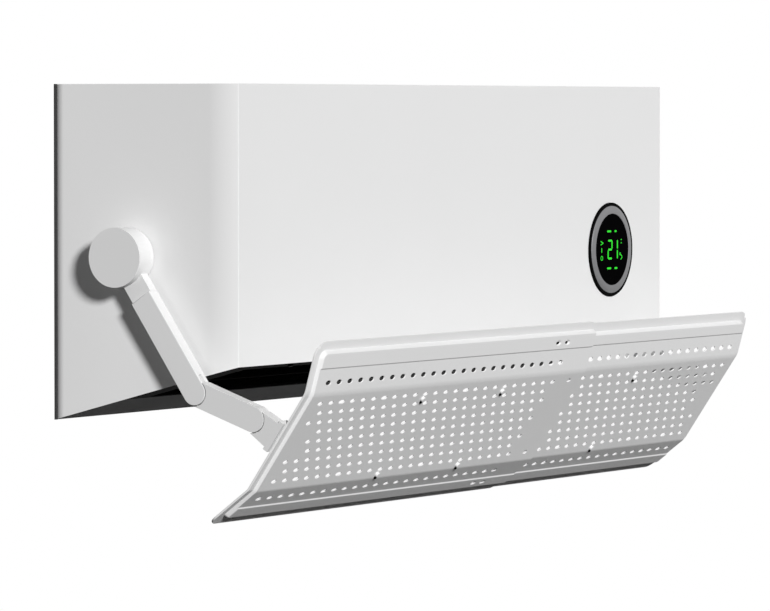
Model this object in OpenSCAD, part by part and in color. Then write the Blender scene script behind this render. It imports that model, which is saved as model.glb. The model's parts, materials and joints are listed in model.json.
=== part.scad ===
// Wall-hung fan convector heater with a jointed, telescopic air deflector.
// Millimetres. +X is to the right seen from the front, the wall is the plane
// y = 0, the front faces -Y, +Z is up. The origin is the middle of the four
// screw holes of the wall plate.

/* [Casing] */
// Width of the casing
unit_w = 835; // [780:5:1100]
// Depth of the casing from the wall
unit_d = 190; // [180:1:240]
// Height of the casing at the wall
unit_h = 300; // [290:1:370]
// Height by which the underside rises from the wall to the front
front_rise = 51; // [40:1:62]
// How far each front corner falls back across the front
corner_in = 4; // [2:0.5:10]
// How far each front corner falls back along the side
corner_back = 28; // [15:1:40]
// Wall of the casing
shell_t = 2.8; // [2:0.1:4]
// Depth of the dark panel along the underside at the wall
rear_panel_d = 73.5; // [60:0.5:85]

/* [Wall plate] */
// Height of the screw pattern's middle above the underside at the wall
hang_h = 180; // [150:1:200]
// Distance between the screw holes along the wall
screw_gap_x = 560; // [400:5:600]
// Distance between the screw holes up the wall
screw_gap_z = 120; // [80:5:140]
// Radius of a screw hole
screw_hole_r = 2.75; // [2:0.05:3.5]
// Radius of the holes in the chassis that clear the screw heads
head_hole_r = 8; // [6:0.5:10]
// Thickness of the wall plate
plate_t = 1.5; // [1:0.1:2]

/* [Fan and duct] */
// Room for the motor and the controls between the fan and the casing's right side
bay_w = 96; // [90:1:180]
// Outer radius of the fan wheel
fan_r = 44; // [38:0.5:48]
// Blades in each fan section
fan_blades = 26; // [12:1:36]
// Running gap between the fan wheel and the scroll
fan_gap = 10; // [6:0.5:14]
// Radius of the fan's shaft
shaft_r = 4; // [3:0.1:5]
// Radius of the fan motor
motor_r = 36; // [28:0.5:40]
// Width of the louvre blade
louvre_w = 44; // [36:1:50]

/* [Display] */
// Distance of the display's middle from the casing's right side
display_in = 115.5; // [70:0.5:160]
// Height of the display's middle above the underside at the wall
display_z = 138.5; // [120:0.5:180]
// Outer radius of the black surround
display_r = 46.5; // [40:0.5:55]
// How far the display's glass stands proud of the front
display_proud = 3.2; // [2.2:0.1:4]

/* [Arms] */
// Distance of the arm disc's axis from the wall
disc_y = 79.5; // [70:0.5:95]
// Height of the arm disc's axis above the underside at the wall
disc_z = 146.5; // [130:0.5:170]
// Radius of the arm disc
disc_r = 26.5; // [22:0.5:32]
// Reach of the arm disc out from the casing's side
disc_t = 25.2; // [22:0.2:30]
// Distance from the shoulder axis to the elbow axis
upper_len = 141.4; // [120:0.2:170]
// Distance from the elbow axis to the wrist axis
fore_len = 63.4; // [52:0.2:76]
// Direction of the upper arm, in degrees below the straight front
upper_tilt = 56.2; // [45:0.2:70]
// Direction of the forearm, in degrees below the straight front
fore_tilt = 20; // [10:0.5:35]
// Width of the upper arm and of the forearm
arm_w = 22.5; // [18:0.5:27]
// Thickness of the arms
arm_t = 13.6; // [12:0.2:16]
// Radius of the hinge pins
pin_r = 3; // [2:0.1:4]

/* [Deflector] */
// How far the deflector reaches past each side of the casing as it hangs
defl_reach = 15; // [12:0.5:19]
// Share of the width that the left panel's edge reaches, from the middle
seam_x = 92; // [40:1:150]
// Length of the overlap of the two panels
overlap = 52; // [45:1:90]
// Length of the middle facet between its two folds
mid_len = 104; // [88:1:120]
// Angle by which each outer facet is folded back
fold_a = 18.5; // [12:0.5:25]
// Steepness of the middle facet, in degrees below level
mid_tilt = 55.9; // [45:0.1:65]
// Thickness of a panel's sheet
sheet_t = 1.2; // [1:0.1:1.6]
// Thickness of a panel's rim
rim_t = 2; // [1.6:0.1:2.4]
// Distance of the middle facet from the wrist axis
stand_off = 33; // [28:0.5:40]
// Radius of an air hole
hole_r = 2.6; // [2:0.1:3.2]
// Distance between air holes along a row
hole_pitch = 19; // [16:0.5:24]
// Distance between rows of air holes
row_pitch = 10.5; // [8:0.1:11]

/* [Hidden] */
$fn = 48;

// Clearances
slip = 0.3;
run_fit = 0.05;
eps = 0.01;

// Casing
half_w = unit_w / 2;
corner_sweep = (corner_back * corner_back + corner_in * corner_in) / (2 * corner_in);
in_w = half_w - shell_t;
in_d = unit_d - shell_t;
slope_a = atan(front_rise / unit_d);
grille_x = half_w - 27.5;
grille_y0 = 24;
grille_y1 = unit_d - 22;
grille_step = 4;

// Display
display_x = half_w - display_in;
ring_r = display_r - 3.1;
lens_r = ring_r - 8;
cup_r = display_r - 3.5;
cup_d = 14;
cup_t = 2.5;
digit_h = 19.7;
digit_w = 10.5;
stroke = 2.2;
ring_rise = 1;
lens_y = unit_d + display_proud - 0.2;

// Chassis
back_t = 3;
back_y = plate_t + back_t;
end_t = 3;
left_x = 33 - half_w;
right_x = half_w - bay_w;
end_y = unit_d - cup_d - 3;
end_top = unit_h - 30;

// Fan, scroll and duct
fan_y = 92;
fan_z = 128;
scroll_r = fan_r + fan_gap;
duct_t = 2.5;
mouth_y0 = rear_panel_d + duct_t + 1;
mouth_y1 = unit_d - 14;
tail_a = -25;
top_a = 80;
tongue = [fan_y + (scroll_r - 4) * cos(25), fan_z - (scroll_r - 4) * sin(25)];
fan_x0 = left_x + end_t + 7;
fan_len = right_x - 10 - fan_x0;
fan_sections = 8;
louvre_y = 124;
louvre_z = 56;
louvre_a = 58;
louvre_pin_r = 3;

// Heater bank
heater_z0 = 207;
heater_h = 30;
heater_y0 = 44;
bar_t = 7;
strip_w = 26;
bars = 4;
heater_y1 = heater_y0 + bars * bar_t + (bars - 1) * strip_w;
heater_x0 = left_x + end_t + 12;
heater_x1 = right_x - 12;
fin_t = 0.6;
fin_pitch = 9;

// Motor and control box
motor_x0 = right_x + end_t + 6;
motor_len = 46;
clamp_t = 4;
box_x0 = right_x + end_t + 6;
box_x1 = in_w - 4;
box_y1 = 150;
box_z0 = 182;
box_z1 = 272;
box_t = 2.5;
gland_x = box_x0 + 50;
gland_z = 225;
gland_r = 8;
cable_r = 4.5;

// Screws of the underside frame
screw_y = unit_d - 7;
screw_xs = [-grille_x * 0.8, 0, grille_x * 0.8];

// Arms
pad_t = 1;
base_t = 4;
rotor_x = pad_t + base_t + slip;
arm_x = 6;
arm_h = arm_w / 2;
cheek_t = 4;
play = 0.15;
spindle_r = 6;
wide_from = 42;
neck_in = 3;
knuckle_r = arm_h;
knuckle_gap = 1;
clip_w = 25;
foot_t = 5;
foot_len = 30;
elbow = [disc_y + upper_len * cos(upper_tilt), disc_z - upper_len * sin(upper_tilt)];
wrist = [elbow[0] + fore_len * cos(fore_tilt), elbow[1] - fore_len * sin(fore_tilt)];

// Deflector
half_defl = half_w + defl_reach;
step_s = 23.5;
band_s = 37.7;
band_up = 1;
rim_back = 3;
lip_top = 9;
lip_bottom = 11.5;
end_lip = 6;
top_cut = 8.2;
bottom_cut = 5.9;
panel_drop = 3.7;
first_hole = 29.5;
rows = 9;
row_top = 10.6;
row_bottom = 12.4;
right_back = sheet_t + slip;
rim_x = half_defl - end_lip - rim_back;

// ---------- placing ----------

// Everything is drawn with z = 0 at the underside and lowered to the screw pattern
module place() translate([0, 0, -hang_h]) children();

// A side view drawn with x = distance from the wall and y = height, drawn out along X
module along_x(x0, x1)
    translate([x0, 0, 0]) rotate([90, 0, 90]) linear_extrude(x1 - x0) mirror([1, 0]) children();

// A point of the side view
module at(x, y, z) translate([x, -y, z]) children();

// A round bar along X
module bar_x(x0, x1, y, z, r) at(x0, y, z) rotate([0, 90, 0]) cylinder(h = x1 - x0, r = r);

// A block between two corners given as x, distance from the wall, height
module block(x0, x1, y0, y1, z0, z1) translate([x0, -y1, z0]) cube([x1 - x0, y1 - y0, z1 - z0]);

// The sloping underside: local z is square to it, local y runs towards the wall
module on_slope() rotate([-slope_a, 0, 0]) children();

function slope_z(y) = y * tan(slope_a);

// ---------- casing ----------

// The casing from above: straight sides that sweep in towards the front
module plan(inset) {
    w = half_w - inset;
    d = unit_d - inset;
    y = unit_d - corner_back;
    mid = half_w - corner_sweep;
    translate([-w, -y]) square([2 * w, y]);
    translate([-mid, -d]) square([2 * mid, d]);
    intersection() {
        for (s = [-1, 1]) translate([s * mid, -y]) circle(corner_sweep - inset);
        translate([-w, -d]) square([2 * w, d]);
    }
}

module case_boss(x) at(x, screw_y, slope_z(screw_y)) on_slope()
    translate([0, 0, duct_t]) difference() {
        cylinder(h = 12, r = 4.5);
        translate([0, 0, -1]) cylinder(h = 11, r = 1.4);
    }

module casing() place() color("whitesmoke") {
    difference() {
        linear_extrude(unit_h) plan(0);
        difference() {
            translate([0, 0, -1]) linear_extrude(unit_h + 1 - shell_t) plan(shell_t);
            block(-grille_x - 4, grille_x + 4, grille_y0 - 4, grille_y1 + 4,
                unit_h - 2 * shell_t, unit_h - shell_t);
        }
        block(-in_w, in_w, -1, 5, -1, unit_h - shell_t);
        block(-grille_x, grille_x, grille_y0, grille_y1, unit_h - shell_t, unit_h + 1);
        block(-grille_x + grille_step, grille_x - grille_step, grille_y0 + grille_step,
            grille_y1 - grille_step, unit_h - 3 * shell_t, unit_h);
        on_slope() translate([-unit_w, -2 * unit_d, -2 * unit_d]) cube([2 * unit_w, 4 * unit_d, 2 * unit_d]);
        at(display_x, 0, display_z) rotate([90, 0, 0]) cylinder(h = unit_d + 5, r = cup_r + run_fit);
    }
    for (x = screw_xs) case_boss(x);
}

module top_grille() place() color("white") {
    slats = 13;
    x0 = -grille_x + slip;
    x1 = grille_x - slip;
    y0 = grille_y0 + slip;
    y1 = grille_y1 - slip;
    z0 = unit_h - shell_t;
    difference() {
        block(x0, x1, y0, y1, z0, unit_h);
        block(x0 + 8, x1 - 8, y0 + 8, y1 - 8, z0 - 1, unit_h + 1);
    }
    for (i = [1 : slats - 1]) {
        y = y0 + 4 + i * (y1 - y0 - 8) / slats;
        block(x0 + 7, x1 - 7, y - 1.2, y + 1.2, z0, unit_h);
    }
    for (i = [1 : 7]) {
        x = x0 + i * (x1 - x0) / 8;
        block(x - 1.5, x + 1.5, y0 + 7, y1 - 7, z0 - 3, unit_h - 0.8);
    }
}

module case_screws() place() color("silver")
    for (x = screw_xs)
        at(x, screw_y, slope_z(screw_y)) on_slope() {
            translate([0, 0, -1.6]) cylinder(h = 1.6, r = 2.8);
            translate([0, 0, -0.5]) cylinder(h = 12, r = 1.4);
        }

// ---------- wall plate and chassis ----------

module screw_places() for (sx = [-1, 1], sz = [-1, 1])
    at(sx * screw_gap_x / 2, 0, hang_h + sz * screw_gap_z / 2) rotate([90, 0, 0]) children();

module wall_plate() place() color("gainsboro") {
    hook_x = screw_gap_x / 2 - 60;
    difference() {
        block(-screw_gap_x / 2 - 20, screw_gap_x / 2 + 20, 0, plate_t,
            hang_h - screw_gap_z / 2 - 20, hang_h + screw_gap_z / 2 + 20);
        screw_places() translate([0, 0, -1]) cylinder(h = plate_t + 2, r = screw_hole_r);
    }
    for (s = [-1, 1]) {
        top = hang_h + screw_gap_z / 2 + 20;
        block(s * hook_x - 18, s * hook_x + 18, 0, plate_t + back_t + 4, top - plate_t, top);
        block(s * hook_x - 18, s * hook_x + 18, plate_t + back_t + 2.5, plate_t + back_t + 4,
            top - plate_t, top + 6);
    }
}

module end_plate(x0) difference() {
    along_x(x0, x0 + end_t) polygon([[back_y - 1, slope_z(back_y) + 3], [end_y, slope_z(end_y) + 3],
        [end_y, end_top], [back_y - 1, end_top]]);
    bar_x(x0 - 1, x0 + end_t + 1, louvre_y, louvre_z, louvre_pin_r + run_fit);
}

module rear_chassis() place() color("dimgray") {
    hook_x = screw_gap_x / 2 - 60;
    hook_z = hang_h + screw_gap_z / 2 + 20;
    difference() {
        block(-in_w, in_w, plate_t, back_y, slope_z(back_y) + 1, unit_h - shell_t);
        for (s = [-1, 1])
            block(s * hook_x - 20, s * hook_x + 20, 0, back_y + 1, hook_z - plate_t - 2, hook_z + 8);
        at(gland_x, 0, gland_z) rotate([90, 0, 0]) cylinder(h = back_y + 1, r = gland_r + run_fit);
        screw_places() cylinder(h = back_y + 1, r = head_hole_r);
    }
    difference() {
        on_slope() translate([-in_w, -rear_panel_d / cos(slope_a), 0])
            cube([2 * in_w, rear_panel_d / cos(slope_a), 3]);
        block(-unit_w, unit_w, -5, 0, -5, 20);
    }
    difference() {
        end_plate(left_x);
        bar_x(left_x - 1, left_x + end_t + 1, fan_y, fan_z, 9);
    }
    difference() {
        end_plate(right_x);
        bar_x(right_x - 1, right_x + end_t + 1, fan_y, fan_z, shaft_r + 6);
    }
    // Rail that carries the middle of the two filters
    mid = (left_x + right_x + end_t) / 2;
    block(mid - 6, mid + 6, back_y - 1, end_y, end_top - 8, end_top);
    block(mid - 1.5, mid + 1.5, back_y - 1, 40, end_top - 26, end_top - 4);
}

// ---------- air path ----------

module duct_strip(points) for (i = [0 : len(points) - 2]) {
    a = points[i];
    b = points[i + 1];
    d = (b - a) / norm(b - a);
    n = [-d[1], d[0]] * duct_t;
    polygon([a, b, b + n, a + n]);
}

function ray(a, r) = [-r * cos(a), r * sin(a)];

// The part of the scroll that is round: from above the fan, behind it, down to the tail
module scroll_arc() translate([fan_y, fan_z]) intersection() {
    difference() {
        circle(scroll_r + duct_t, $fn = 96);
        circle(scroll_r, $fn = 96);
    }
    polygon([[0, 0], ray(top_a, 3 * scroll_r), ray((top_a + tail_a) / 2, 3 * scroll_r),
        ray(tail_a, 3 * scroll_r)]);
}

module outlet_duct() place() color("black") {
    x0 = left_x + end_t;
    tail = [fan_y, fan_z] + ray(tail_a, scroll_r);
    heel = [mouth_y0, slope_z(mouth_y0) + 0.5];
    deck_z = heater_z0 - 4;
    along_x(x0, right_x) {
        scroll_arc();
        duct_strip([heel, tail]);
        duct_strip([tongue, [mouth_y1, slope_z(mouth_y1) + 1]]);
        duct_strip([[heater_y1 + 1, deck_z], [heater_y1, 150], tongue]);
        duct_strip([[fan_y, fan_z] + ray(top_a, scroll_r), [heater_y0 - 3, deck_z - 10],
            [heater_y0 - 3, deck_z]]);
    }
    // Frame round the mouth, in the plane of the underside
    difference() {
        intersection() {
            on_slope() translate([-in_w, -in_d / cos(slope_a) - 2, 0])
                cube([2 * in_w, (in_d - rear_panel_d) / cos(slope_a) + 2, duct_t]);
            linear_extrude(unit_h) plan(shell_t);
        }
        block(x0, right_x, mouth_y0, mouth_y1, -1, unit_h);
        for (x = screw_xs) at(x, screw_y, slope_z(screw_y)) on_slope()
            translate([0, 0, -1]) cylinder(h = duct_t + 2, r = 1.6);
    }
    // Straightening ribs on the rear wall, rooted in its thickness
    root = across(heel, tail) * duct_t / 2;
    low = heel + (tail - heel) * 0.08;
    high = (heel + tail) / 2;
    for (i = [1 : 7]) {
        x = x0 + i * (right_x - x0) / 8;
        along_x(x - 1, x + 1) polygon([low + root, high + root, high, high + [20, -8], low + [14, 2], low]);
    }
}

module air_filters() place() color("lightgray") {
    x0 = left_x;
    x1 = right_x + end_t;
    w = (x1 - x0) / 2 - 1;
    for (s = [0, 1]) {
        fx = x0 + s * (w + 2);
        difference() {
            block(fx, fx + w, 22, end_y, end_top, end_top + 4);
            block(fx + 8, fx + w - 8, 30, end_y - 8, end_top - 1, end_top + 5);
        }
        for (i = [1 : 7]) block(fx + i * w / 8 - 1, fx + i * w / 8 + 1, 29, end_y - 7, end_top + 1, end_top + 3);
        for (i = [1 : 3])
            block(fx + 7, fx + w - 7, 22 + i * (end_y - 22) / 4 - 1, 22 + i * (end_y - 22) / 4 + 1,
                end_top + 1, end_top + 3);
    }
}

// ---------- heater bank ----------

// A square wave along x between two heights, n periods long
function wave(n, from, low, high) = [for (i = [0 : n - 1]) each
    [[0, low], [0, high], [0.5, high], [0.5, low]] * [[fin_pitch, 0], [0, 1]]
    + [for (k = [0 : 3]) [from + i * fin_pitch, 0]]];

module heater_fins() place() color("silver") {
    n = floor((heater_x1 - heater_x0 - 8) / fin_pitch);
    for (k = [0 : bars - 2]) {
        high = -(heater_y0 + bar_t + k * (bar_t + strip_w));
        line = wave(n, heater_x0 + 4, high - strip_w + fin_t, high);
        translate([0, 0, heater_z0 + 2]) linear_extrude(heater_h - 4)
            polygon(concat(line, reversed(moved_back(line, fin_t))));
    }
}

module heater_bars() place() color("lightsteelblue")
    for (k = [0 : bars - 1]) {
        y = heater_y0 + k * (bar_t + strip_w);
        block(heater_x0, heater_x1, y, y + bar_t, heater_z0, heater_z0 + heater_h);
    }

// A sheet channel at each end, with its web against the end plate and its inner wall
// against the ends of the bars
module heater_brackets() place() color("tan") {
    z0 = heater_z0 - 4;
    z1 = heater_z0 + heater_h + 4;
    for (x = [left_x + end_t, heater_x1]) difference() {
        block(x, x + 12, heater_y0 - 3, heater_y1 + 2.5, z0, z1);
        block(x + 2, x + 10, heater_y0 - 1, heater_y1 + 0.5, z0 - 1, z1 + 1);
    }
}

module thermal_cutout() place() color("ivory") {
    x = heater_x0 + 40;
    y = heater_y0 + bar_t / 2;
    at(x, y, heater_z0 + heater_h) cylinder(h = 6, r = 8);
    at(x, y, heater_z0 + heater_h + 6) cylinder(h = 3, r = 5);
}

// ---------- fan ----------

module fan_bearing() place() color("dimgray")
    difference() {
        union() {
            bar_x(left_x - 3, left_x + end_t + 3, fan_y, fan_z, 9);
            bar_x(left_x - 3, left_x, fan_y, fan_z, 12);
        }
        bar_x(left_x - 4, left_x + end_t + 4, fan_y, fan_z, shaft_r + run_fit);
    }

module fan_wheel() place() color("darkslategray")
    difference() {
        union() {
            for (i = [0 : fan_sections])
                bar_x(fan_x0 + i * (fan_len - 2) / fan_sections,
                    fan_x0 + i * (fan_len - 2) / fan_sections + 2, fan_y, fan_z, fan_r);
            at(fan_x0, fan_y, fan_z) rotate([90, 0, 90]) linear_extrude(fan_len)
                for (i = [0 : fan_blades - 1]) rotate(i * 360 / fan_blades)
                    translate([fan_r - 6, 0]) rotate(35) square([13, 1.2], center = true);
        }
        bar_x(fan_x0 - 1, fan_x0 + fan_len + 1, fan_y, fan_z, shaft_r);
    }

module fan_shaft() place() color("silver")
    bar_x(left_x - 4, motor_x0 + motor_len - 8, fan_y, fan_z, shaft_r);

module fan_motor() place() color("slategray")
    difference() {
        union() {
            bar_x(motor_x0, motor_x0 + motor_len, fan_y, fan_z, motor_r);
            bar_x(motor_x0 - 5, motor_x0, fan_y, fan_z, 12);
        }
        bar_x(motor_x0 - 6, motor_x0 + motor_len - 7.5, fan_y, fan_z, shaft_r + run_fit);
    }

module motor_clamp() place() color("gainsboro") {
    x0 = motor_x0 + motor_len / 2 - 12;
    difference() {
        union() {
            block(x0, x0 + 24, back_y, fan_y, fan_z - motor_r - clamp_t, fan_z + motor_r + clamp_t);
            bar_x(x0, x0 + 24, fan_y, fan_z, motor_r + clamp_t);
        }
        bar_x(x0 - 1, x0 + 25, fan_y, fan_z, motor_r);
    }
}

// ---------- louvre ----------

module louvre() place() color("black") {
    x0 = left_x + end_t + 0.5;
    x1 = right_x - 0.5;
    along_x(x0, x1) translate([louvre_y, louvre_z]) rotate(-louvre_a) {
        square([louvre_w, 2.4], center = true);
        for (s = [-1, 1]) translate([s * louvre_w / 2, 0]) circle(1.2);
        circle(louvre_pin_r + 0.4);
    }
    bar_x(left_x, x0, louvre_y, louvre_z, louvre_pin_r);
    bar_x(x1, right_x + end_t + 10, louvre_y, louvre_z, louvre_pin_r);
}

module louvre_motor() place() color("lightgray")
    difference() {
        union() {
            bar_x(right_x + end_t, right_x + end_t + 19, louvre_y, louvre_z, 14);
            block(right_x + end_t, right_x + end_t + 1.5, louvre_y - 21, louvre_y + 21,
                louvre_z - 4, louvre_z + 4);
        }
        bar_x(right_x, right_x + end_t + 11, louvre_y, louvre_z, louvre_pin_r + run_fit);
    }

// ---------- controls ----------

module control_box() place() color("gainsboro") difference() {
    block(box_x0, box_x1, back_y, box_y1, box_z0, box_z1);
    block(box_x0 + box_t, box_x1 - box_t, back_y + box_t, box_y1 + 1, box_z0 + box_t, box_z1 - box_t);
    at(gland_x, 0, gland_z) rotate([90, 0, 0]) cylinder(h = back_y + box_t + 1, r = gland_r + run_fit);
}

module box_lid() place() color("lightgray")
    block(box_x0, box_x1, box_y1, box_y1 + 2, box_z0, box_z1);

module control_board() place() color("darkgreen")
    block(box_x0 + box_t, box_x0 + box_t + 1.6, back_y + 18, box_y1 - 4, box_z0 + box_t, box_z1 - box_t);

module board_parts() place() color("black") {
    x = box_x0 + box_t + 1.6;
    for (i = [0 : 2]) block(x, x + 16, 60 + 24 * i, 78 + 24 * i, box_z0 + 55, box_z0 + 70);
    for (i = [0 : 1]) at(x, 70 + 24 * i, box_z0 + 30) rotate([0, 90, 0]) cylinder(h = 22, r = 8);
}

module terminal_block() place() color("ivory") difference() {
    block(gland_x - 30, gland_x + 18, back_y + box_t + 24, back_y + box_t + 46, box_z0 + box_t, box_z0 + 22);
    for (i = [0 : 2]) at(gland_x - 21 + 15 * i, back_y + box_t + 35, box_z0 + 14)
        cylinder(h = 10, r = 3.5);
}

module cable_gland() place() color("black") difference() {
    union() {
        at(gland_x, plate_t, gland_z) rotate([90, 0, 0]) cylinder(h = back_t + box_t, r = gland_r);
        at(gland_x, back_y + box_t, gland_z) rotate([90, 0, 0]) cylinder(h = 10, r = gland_r + 3);
    }
    at(gland_x, 0, gland_z) rotate([90, 0, 0]) cylinder(h = back_y + box_t + 11, r = cable_r);
}

module room_sensor() place() color("ivory") {
    x = right_x + end_t;
    block(x, x + 5, box_y1 + 6, box_y1 + 18, end_top - 30, end_top - 18);
    bar_x(x + 5, x + 7, box_y1 + 12, end_top - 24, 2.5);
}

// ---------- display ----------

module display_axis(y) at(display_x, y, display_z) rotate([90, 0, 0]) children();

module display_housing() place() color("black") difference() {
    union() {
        display_axis(unit_d) cylinder(h = display_proud - ring_rise, r = display_r);
        display_axis(unit_d - cup_d) cylinder(h = cup_d + eps, r = cup_r);
    }
    display_axis(unit_d - cup_d + 2) cylinder(h = cup_d, r = cup_r - cup_t);
    display_axis(unit_d + 1) cylinder(h = 10, r = ring_r);
}

// A ring that rises towards the glass it holds and sits in the housing's mouth
module display_ring() place() color("silver") display_axis(unit_d - 1) rotate_extrude()
    polygon([[lens_r, 0], [cup_r - cup_t - slip, 0], [cup_r - cup_t - slip, 2], [ring_r, 2],
        [ring_r, display_proud - ring_rise + 1], [lens_r + 0.3, display_proud + 1],
        [lens_r, display_proud + 1]]);

module display_lens() place() color([0.02, 0.02, 0.02])
    display_axis(unit_d - 1) cylinder(h = lens_y - unit_d + 1, r = lens_r);

module stroke_bar(x, z, w, h) translate([x - w / 2, z - h / 2]) square([w, h]);

// The digits 2 and 1 as plain seven-segment strokes
module display_digits() place() color("lime")
    display_axis(lens_y) linear_extrude(0.2) {
        q = digit_h / 2;
        for (z = [-q + stroke / 2, 0, q - stroke / 2]) stroke_bar(-5, z, digit_w, stroke);
        stroke_bar(-5 + digit_w / 2 - stroke / 2, q / 2, stroke, q);
        stroke_bar(-5 - digit_w / 2 + stroke / 2, -q / 2, stroke, q);
        stroke_bar(11, 0, stroke, digit_h);
    }

module display_board() place() color("darkgreen")
    display_axis(unit_d - cup_d + 2) difference() {
        cylinder(h = 1.6, r = cup_r - cup_t - slip);
        for (a = [0, 180]) rotate(a) translate([cup_r - 9, 0, -1]) cylinder(h = 4, r = 1.5);
    }

// ---------- arms ----------
// Each arm is drawn for the left side with its own x counted outwards from the casing's side.

module side(s) place() mirror([min(s, 0), 0, 0]) translate([half_w, 0, 0]) children();

module adhesive_pads() for (s = [-1, 1]) color("gray") side(s)
    bar_x(0, pad_t, disc_y, disc_z, disc_r - 1);

module arm_bases() for (s = [-1, 1]) color("whitesmoke") side(s) {
    bar_x(pad_t, pad_t + base_t, disc_y, disc_z, disc_r);
    bar_x(pad_t, disc_t - 4, disc_y, disc_z, spindle_r);
}

// Outline of a bar from one distance to another along a limb, in its own side view
module bar2d(from, to, w) translate([from, -w / 2]) square([to - from, w]);

// Lays a side view of a limb at its pivot, pointing down to the front by tilt
module limb(pivot, tilt, x0, x1) along_x(x0, x1) translate(pivot) rotate(-tilt) children();

module shoulder_disc(s) color("whitesmoke") side(s) difference() {
    union() {
        bar_x(rotor_x, disc_t, disc_y, disc_z, disc_r);
        limb([disc_y, disc_z], upper_tilt, arm_x, arm_x + arm_t - neck_in)
            bar2d(0, wide_from, arm_w - 1);
        limb([disc_y, disc_z], upper_tilt, arm_x + 3, arm_x + arm_t - 4.5)
            bar2d(wide_from - 1, wide_from + 25, 12);
    }
    bar_x(rotor_x - 1, disc_t - 4 + play, disc_y, disc_z, spindle_r + run_fit);
}

// Room for the next limb's tongue between the cheeks at a limb's round end
module tongue_room(pivot, tilt, from) limb(pivot, tilt, arm_x + cheek_t, arm_x + arm_t - cheek_t)
    bar2d(from - knuckle_r - 0.5, from + 2 * knuckle_r, 2 * arm_w);

module upper_arm(s) color("whitesmoke") side(s) difference() {
    union() {
        limb([disc_y, disc_z], upper_tilt, arm_x, arm_x + arm_t) {
            bar2d(wide_from, upper_len, arm_w);
            translate([upper_len, 0]) circle(knuckle_r);
        }
    }
    limb([disc_y, disc_z], upper_tilt, arm_x + 3 - play, arm_x + arm_t - 4.5 + play)
        bar2d(wide_from - 1, wide_from + 25.3, 12 + 2 * play);
    tongue_room([disc_y, disc_z], upper_tilt, upper_len);
    bar_x(arm_x - 1, arm_x + arm_t - 1.4, elbow[0], elbow[1], pin_r);
}

module elbow_pin(s) color("silver") side(s)
    bar_x(arm_x + 0.2, arm_x + arm_t - 1.5, elbow[0], elbow[1], pin_r);

module forearm(s) color("whitesmoke") side(s) difference() {
    union() {
        difference() {
            limb(elbow, fore_tilt, arm_x, arm_x + arm_t) {
                bar2d(4, fore_len, arm_w);
                translate([fore_len, 0]) circle(knuckle_r);
            }
            bar_x(arm_x - 1, arm_x + cheek_t + play, elbow[0], elbow[1], knuckle_r + knuckle_gap);
            bar_x(arm_x + arm_t - cheek_t - play, arm_x + arm_t + 1, elbow[0], elbow[1],
                knuckle_r + knuckle_gap);
        }
        limb(elbow, fore_tilt, arm_x + cheek_t + play, arm_x + arm_t - cheek_t - play) {
            circle(knuckle_r);
            bar2d(0, knuckle_r + 3, arm_w);
        }
    }
    tongue_room(elbow, fore_tilt, fore_len);
    bar_x(arm_x - 1, arm_x + arm_t + 1, elbow[0], elbow[1], pin_r + run_fit);
    bar_x(arm_x - 1, arm_x + arm_t - 1.4, wrist[0], wrist[1], pin_r);
}

module wrist_pin(s) color("silver") side(s)
    bar_x(arm_x + 0.2, arm_x + arm_t - 1.5, wrist[0], wrist[1], pin_r);

// Clip from the wrist to the back of the deflector's rim; back is how much nearer the rim lies
module clip(s, back) color("whitesmoke") side(s) {
    tilt = 90 - mid_tilt;
    foot = stand_off - rim_back - rim_t - back;
    difference() {
        union() {
            difference() {
                limb(wrist, tilt, arm_x, arm_x + arm_t)
                    polygon([[4, -arm_h], [foot - foot_t + 1, -clip_w / 2],
                        [foot - foot_t + 1, clip_w / 2], [4, arm_h]]);
                bar_x(arm_x - 1, arm_x + cheek_t + play, wrist[0], wrist[1], knuckle_r + knuckle_gap);
                bar_x(arm_x + arm_t - cheek_t - play, arm_x + arm_t + 1, wrist[0], wrist[1],
                    knuckle_r + knuckle_gap);
            }
            limb(wrist, tilt, arm_x + cheek_t + play, arm_x + arm_t - cheek_t - play) {
                circle(knuckle_r);
                bar2d(0, knuckle_r + 3, arm_w);
            }
            limb(wrist, tilt, arm_x, arm_x + arm_t)
                bar2d(foot - foot_t, foot, foot_len);
        }
        bar_x(arm_x - 1, arm_x + arm_t + 1, wrist[0], wrist[1], pin_r + run_fit);
    }
}

// ---------- deflector ----------
// Side view of a panel: x runs down along the middle facet from the point square to the
// wrist, y runs outwards. Each outer facet folds back, carries a slightly raised band and
// ends in a lip that is set back.

function turn(p, a) = [p[0] * cos(a) - p[1] * sin(a), p[0] * sin(a) + p[1] * cos(a)];
function reversed(points) = [for (i = [len(points) - 1 : -1 : 0]) points[i]];
function across(a, b) = let (d = (b - a) / norm(b - a)) [-d[1], d[0]];

// The same line moved back by q, with mitred corners
function moved_back(points, q) = [for (i = [0 : len(points) - 1])
    let (n1 = across(points[max(i - 1, 0)], points[max(i, 1)]),
        n2 = across(points[min(i, len(points) - 2)], points[min(i + 1, len(points) - 1)]))
    points[i] - q * (n1 + n2) / (1 + n1 * n2)];

wing_end = band_s + rim_back;
function wing(lip) = [[0, 0], [step_s, 0], [step_s + 1, band_up], [band_s, band_up],
    [wing_end + band_up, -rim_back], [wing_end + lip, -rim_back]];
function set_wing(points) = [for (p = points) turn(p, -fold_a) + [mid_len / 2, 0]];
function both_wings(top, bottom) = concat(
    [for (p = reversed(set_wing(top))) [-p[0], p[1]]], set_wing(bottom));

raised_line = both_wings(wing(lip_top), wing(lip_bottom));
plain_line = both_wings([[0, 0], [wing_end + lip_top, 0]], [[0, 0], [wing_end + lip_bottom, 0]]);

// Places the side view of a panel on the object and draws it out along X
module panel_solid(x0, x1) along_x(x0, x1) translate(wrist) rotate(180 + mid_tilt)
    translate([panel_drop, stand_off]) children();

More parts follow.
